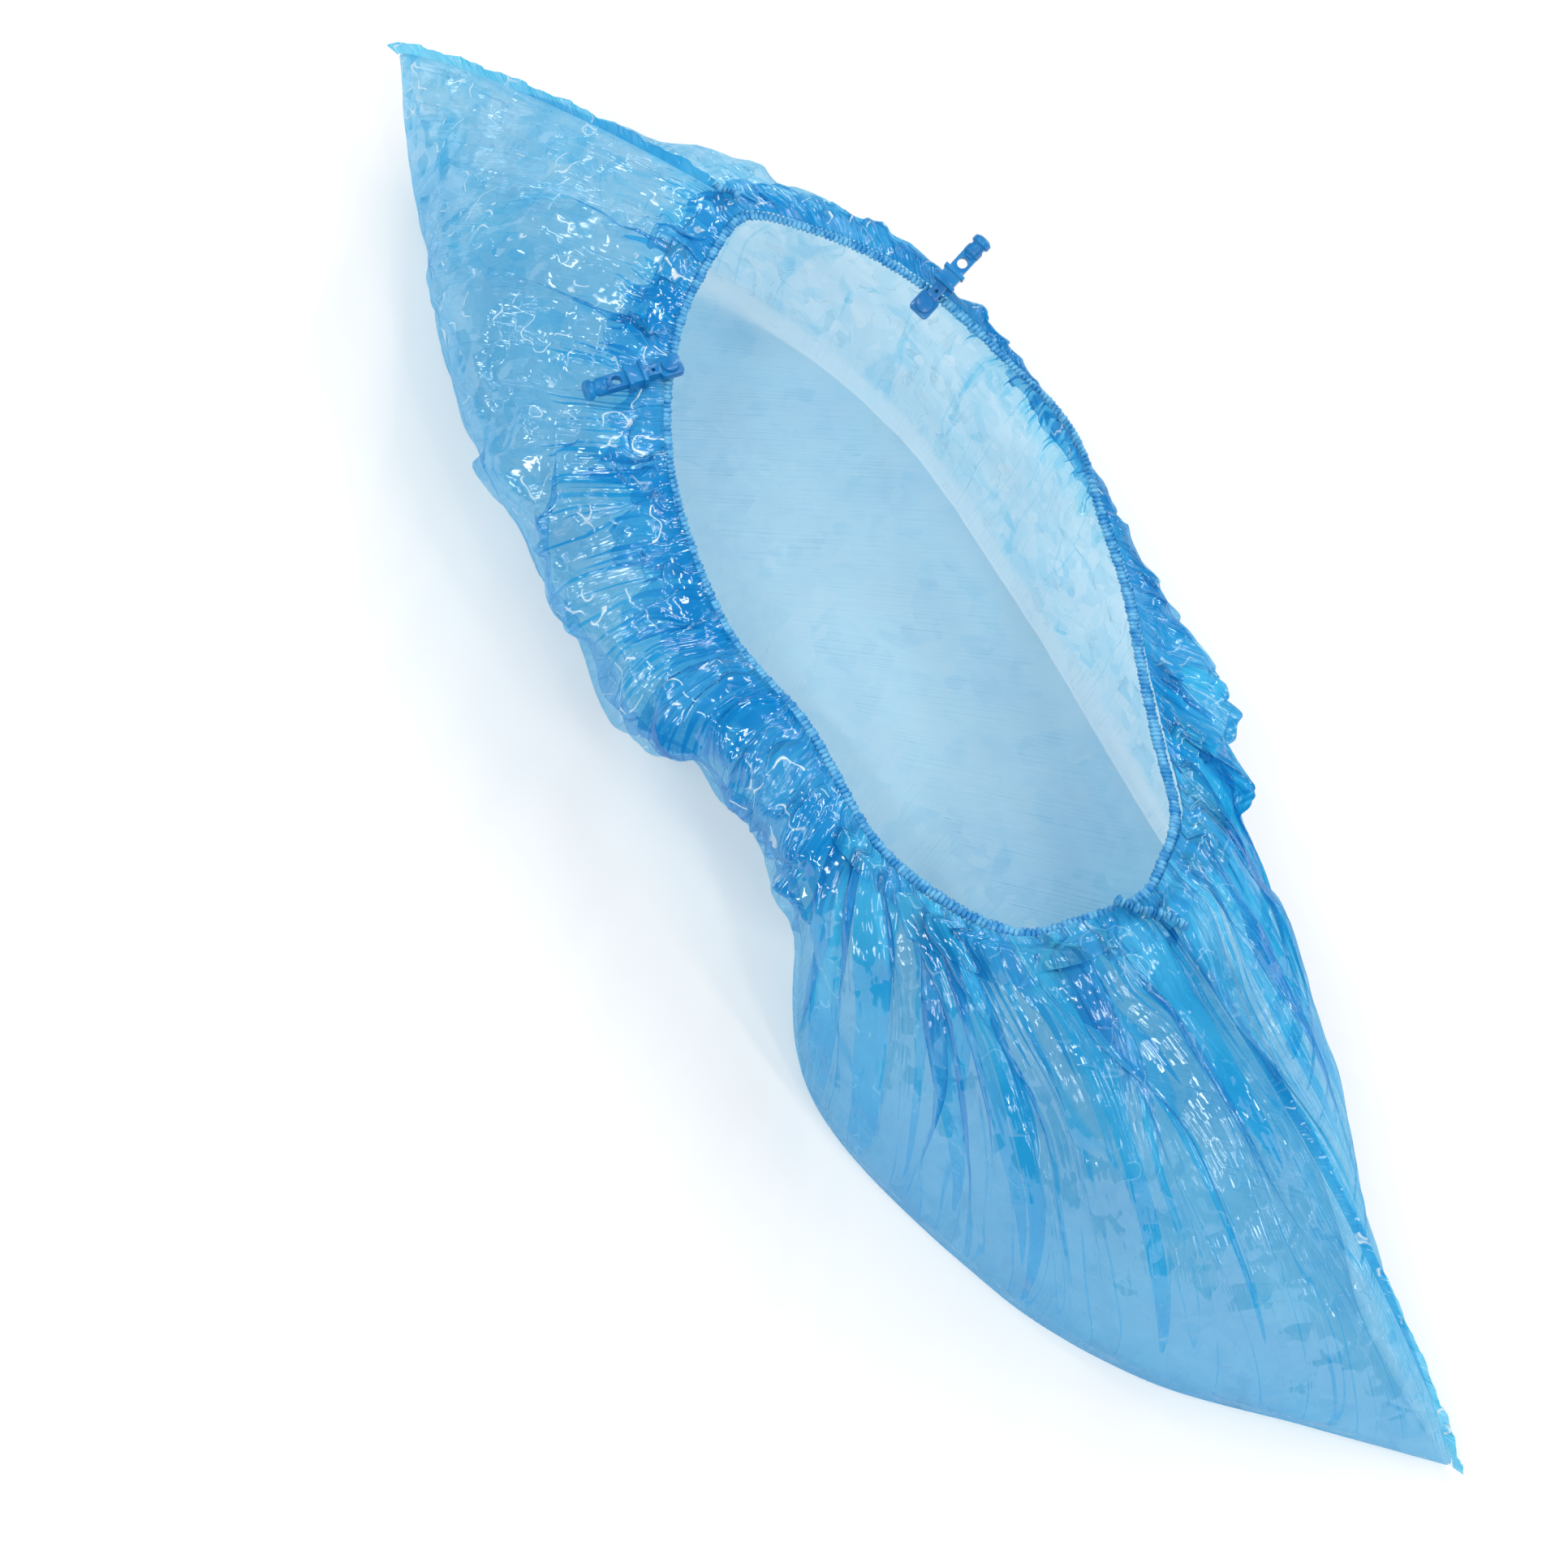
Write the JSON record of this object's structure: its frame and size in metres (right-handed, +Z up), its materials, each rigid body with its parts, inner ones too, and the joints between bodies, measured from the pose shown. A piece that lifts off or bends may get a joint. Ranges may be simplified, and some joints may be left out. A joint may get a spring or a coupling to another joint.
{
  "type": "disposable shoe cover",
  "caption": "Disposable blue plastic film overshoe, as worn: gathered elastic mouth, welded pointed toe and heel corners, flat sole and two small moulded hook clips.",
  "frame": {"origin": "the seat on the inner face of the bag's flat floor, where the middle of the shoe's sole presses, 1.2 mm above the outer face of the sole", "axes": "+X to the toe along the sole, +Y to the wearer's left, +Z up"},
  "size_m": [0.4211, 0.1244, 0.0784],
  "materials": {
    "film": "thin translucent light blue polyethylene film, crinkled and glossy, deep blue where layers gather",
    "hem": "finely ribbed film rolled and welded round elastic, semi-matt cyan blue",
    "clip": "injection moulded mid-blue plastic, satin"
  },
  "bodies": {
    "root": {"film_bag": "film", "elastic_hem": "hem", "front_tab": "hem", "rear_tab": "hem", "hook_clip_right": "clip", "hook_clip_left": "clip"}
  },
  "joints": []
}
